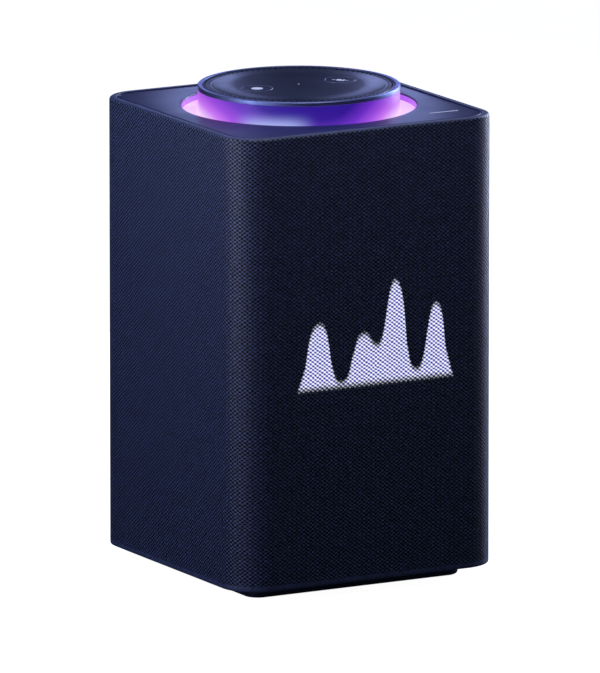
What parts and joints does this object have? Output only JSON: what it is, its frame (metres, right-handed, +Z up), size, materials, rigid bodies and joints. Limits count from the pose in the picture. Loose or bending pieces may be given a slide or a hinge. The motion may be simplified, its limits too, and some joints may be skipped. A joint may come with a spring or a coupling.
{
  "type": "smart speaker",
  "caption": "Square fabric-covered smart speaker with a lit rotary volume dial, two push buttons, hidden LED display and internal drivers.",
  "frame": {"origin": "middle of the foot pad's underside, on the surface it stands on", "axes": "+Z up, -Y towards the front face with the display, +X to the right seen from the front"},
  "size_m": [0.141, 0.141, 0.2314],
  "materials": {
    "knit_fabric": "matte woven",
    "grille_plastic": "moulded",
    "plate_plastic": "satin",
    "cover_plastic": "satin",
    "dial_aluminium": "anodised, turned",
    "skirt_plastic": "glossy, lit",
    "light_guide": "milky, lit",
    "plinth_plastic": "gloss",
    "foot_rubber": "matte",
    "chassis_plastic": "moulded",
    "port_plastic": "moulded",
    "socket_steel": "plated",
    "socket_plastic": "moulded",
    "gear_plastic": "moulded",
    "circuit_board": "solder mask",
    "led_white": "clear resin",
    "chip_black": "moulded",
    "heat_aluminium": "extruded",
    "motor_steel": "zinc plated",
    "basket_steel": "painted",
    "cone_paper": "pulp",
    "surround_rubber": "matte",
    "spider_cloth": "pressed cloth",
    "coil_copper": "wound",
    "enclosure_plastic": "moulded",
    "cable_plastic": "flat cable",
    "screw_steel": "zinc plated"
  },
  "bodies": {
    "housing": {"amplifier_board": "circuit_board", "audio_jack": "socket_plastic", "baffle_gasket": "surround_rubber", "base_foot_pad": "foot_rubber", "base_plate": "chassis_plastic", "base_plinth": "plinth_plastic", "dc_inlet": "socket_plastic", "dial_bearing_ring": "gear_plastic", "dial_pedestal": "chassis_plastic", "display_board": "circuit_board", "display_leds": "led_white", "display_light_grid": "grille_plastic", "dome_switches": "chip_black", "encoder_body": "chip_black", "fabric_cover": "knit_fabric", "flat_cables": "cable_plastic", "front_baffle": "enclosure_plastic", "grille_shell": "grille_plastic", "heat_spreader": "heat_aluminium", "light_ring_guide": "light_guide", "main_board": "circuit_board", "mic_board": "circuit_board", "mic_capsules": "socket_steel", "mic_cover": "cover_plastic", "mid_frames": "basket_steel", "mid_magnets": "motor_steel", "mid_surround_left": "surround_rubber", "mid_surround_right": "surround_rubber", "network_socket": "socket_steel", "port_panel": "port_plastic", "radiator_frames": "basket_steel", "radiator_surround_left": "surround_rubber", "radiator_surround_right": "surround_rubber", "ring_led_board": "circuit_board", "screws": "screw_steel", "speaker_enclosure": "enclosure_plastic", "top_cover": "plate_plastic", "top_frame": "chassis_plastic", "tweeter_bodies": "chip_black", "video_socket": "socket_steel", "woofer_frame": "basket_steel", "woofer_magnet": "motor_steel", "woofer_spider": "spider_cloth", "woofer_surround": "surround_rubber"},
    "volume_dial": {"dial_bezel": "dial_aluminium", "dial_skirt": "skirt_plastic", "dial_gear": "gear_plastic"},
    "encoder_rotor": {"encoder_gear": "gear_plastic"},
    "assistant_push": {"assistant_button": "cover_plastic"},
    "mute_push": {"mute_button": "cover_plastic"},
    "woofer_diaphragm": {"woofer_cone": "cone_paper", "woofer_dust_cap": "cone_paper", "woofer_voice_coil": "coil_copper"},
    "mid_diaphragm_left": {"mid_cone_left": "cone_paper"},
    "mid_diaphragm_right": {"mid_cone_right": "cone_paper"},
    "tweeter_diaphragm_left": {"tweeter_dome_left": "heat_aluminium"},
    "tweeter_diaphragm_right": {"tweeter_dome_right": "heat_aluminium"},
    "radiator_diaphragm_left": {"radiator_left": "cone_paper"},
    "radiator_diaphragm_right": {"radiator_right": "cone_paper"}
  },
  "joints": [
    {"name": "volume_turn", "type": "hinge", "parent": "housing", "child": "volume_dial", "pos_m": [0, 0, 0.222], "axis": [0, 0, 1], "continuous": true},
    {"name": "encoder_turn", "type": "hinge", "parent": "housing", "child": "encoder_rotor", "pos_m": [0, 0.035, 0.207], "axis": [0, 0, 1], "continuous": true},
    {"name": "assistant_press", "type": "slide", "parent": "housing", "child": "assistant_push", "axis": [0, 0, -1], "range_m": [0, 0.0005], "stiffness_N_per_m": 1600},
    {"name": "mute_press", "type": "slide", "parent": "housing", "child": "mute_push", "axis": [0, 0, -1], "range_m": [0, 0.0005], "stiffness_N_per_m": 1600},
    {"name": "woofer_travel", "type": "slide", "parent": "housing", "child": "woofer_diaphragm", "axis": [0, -1, 0], "range_m": [-0.003, 0.003], "stiffness_N_per_m": 1200, "deforming": ["woofer_surround", "woofer_spider"]},
    {"name": "mid_travel_left", "type": "slide", "parent": "housing", "child": "mid_diaphragm_left", "axis": [0, -1, 0], "range_m": [-0.001, 0.001], "stiffness_N_per_m": 1500, "deforming": ["mid_surround_left"]},
    {"name": "mid_travel_right", "type": "slide", "parent": "housing", "child": "mid_diaphragm_right", "axis": [0, -1, 0], "range_m": [-0.001, 0.001], "stiffness_N_per_m": 1500, "deforming": ["mid_surround_right"]},
    {"name": "tweeter_travel_left", "type": "slide", "parent": "housing", "child": "tweeter_diaphragm_left", "axis": [0, -1, 0], "range_m": [-0.0002, 0.0002], "stiffness_N_per_m": 2000},
    {"name": "tweeter_travel_right", "type": "slide", "parent": "housing", "child": "tweeter_diaphragm_right", "axis": [0, -1, 0], "range_m": [-0.0002, 0.0002], "stiffness_N_per_m": 2000},
    {"name": "radiator_travel_left", "type": "slide", "parent": "housing", "child": "radiator_diaphragm_left", "axis": [-1, 0, 0], "range_m": [-0.004, 0.004], "stiffness_N_per_m": 900, "deforming": ["radiator_surround_left"]},
    {"name": "radiator_travel_right", "type": "slide", "parent": "housing", "child": "radiator_diaphragm_right", "axis": [1, 0, 0], "range_m": [-0.004, 0.004], "stiffness_N_per_m": 900, "deforming": ["radiator_surround_right"]}
  ],
  "couplings": [
    {"joint": "encoder_turn", "follows": "volume_turn", "ratio": 6}
  ]
}
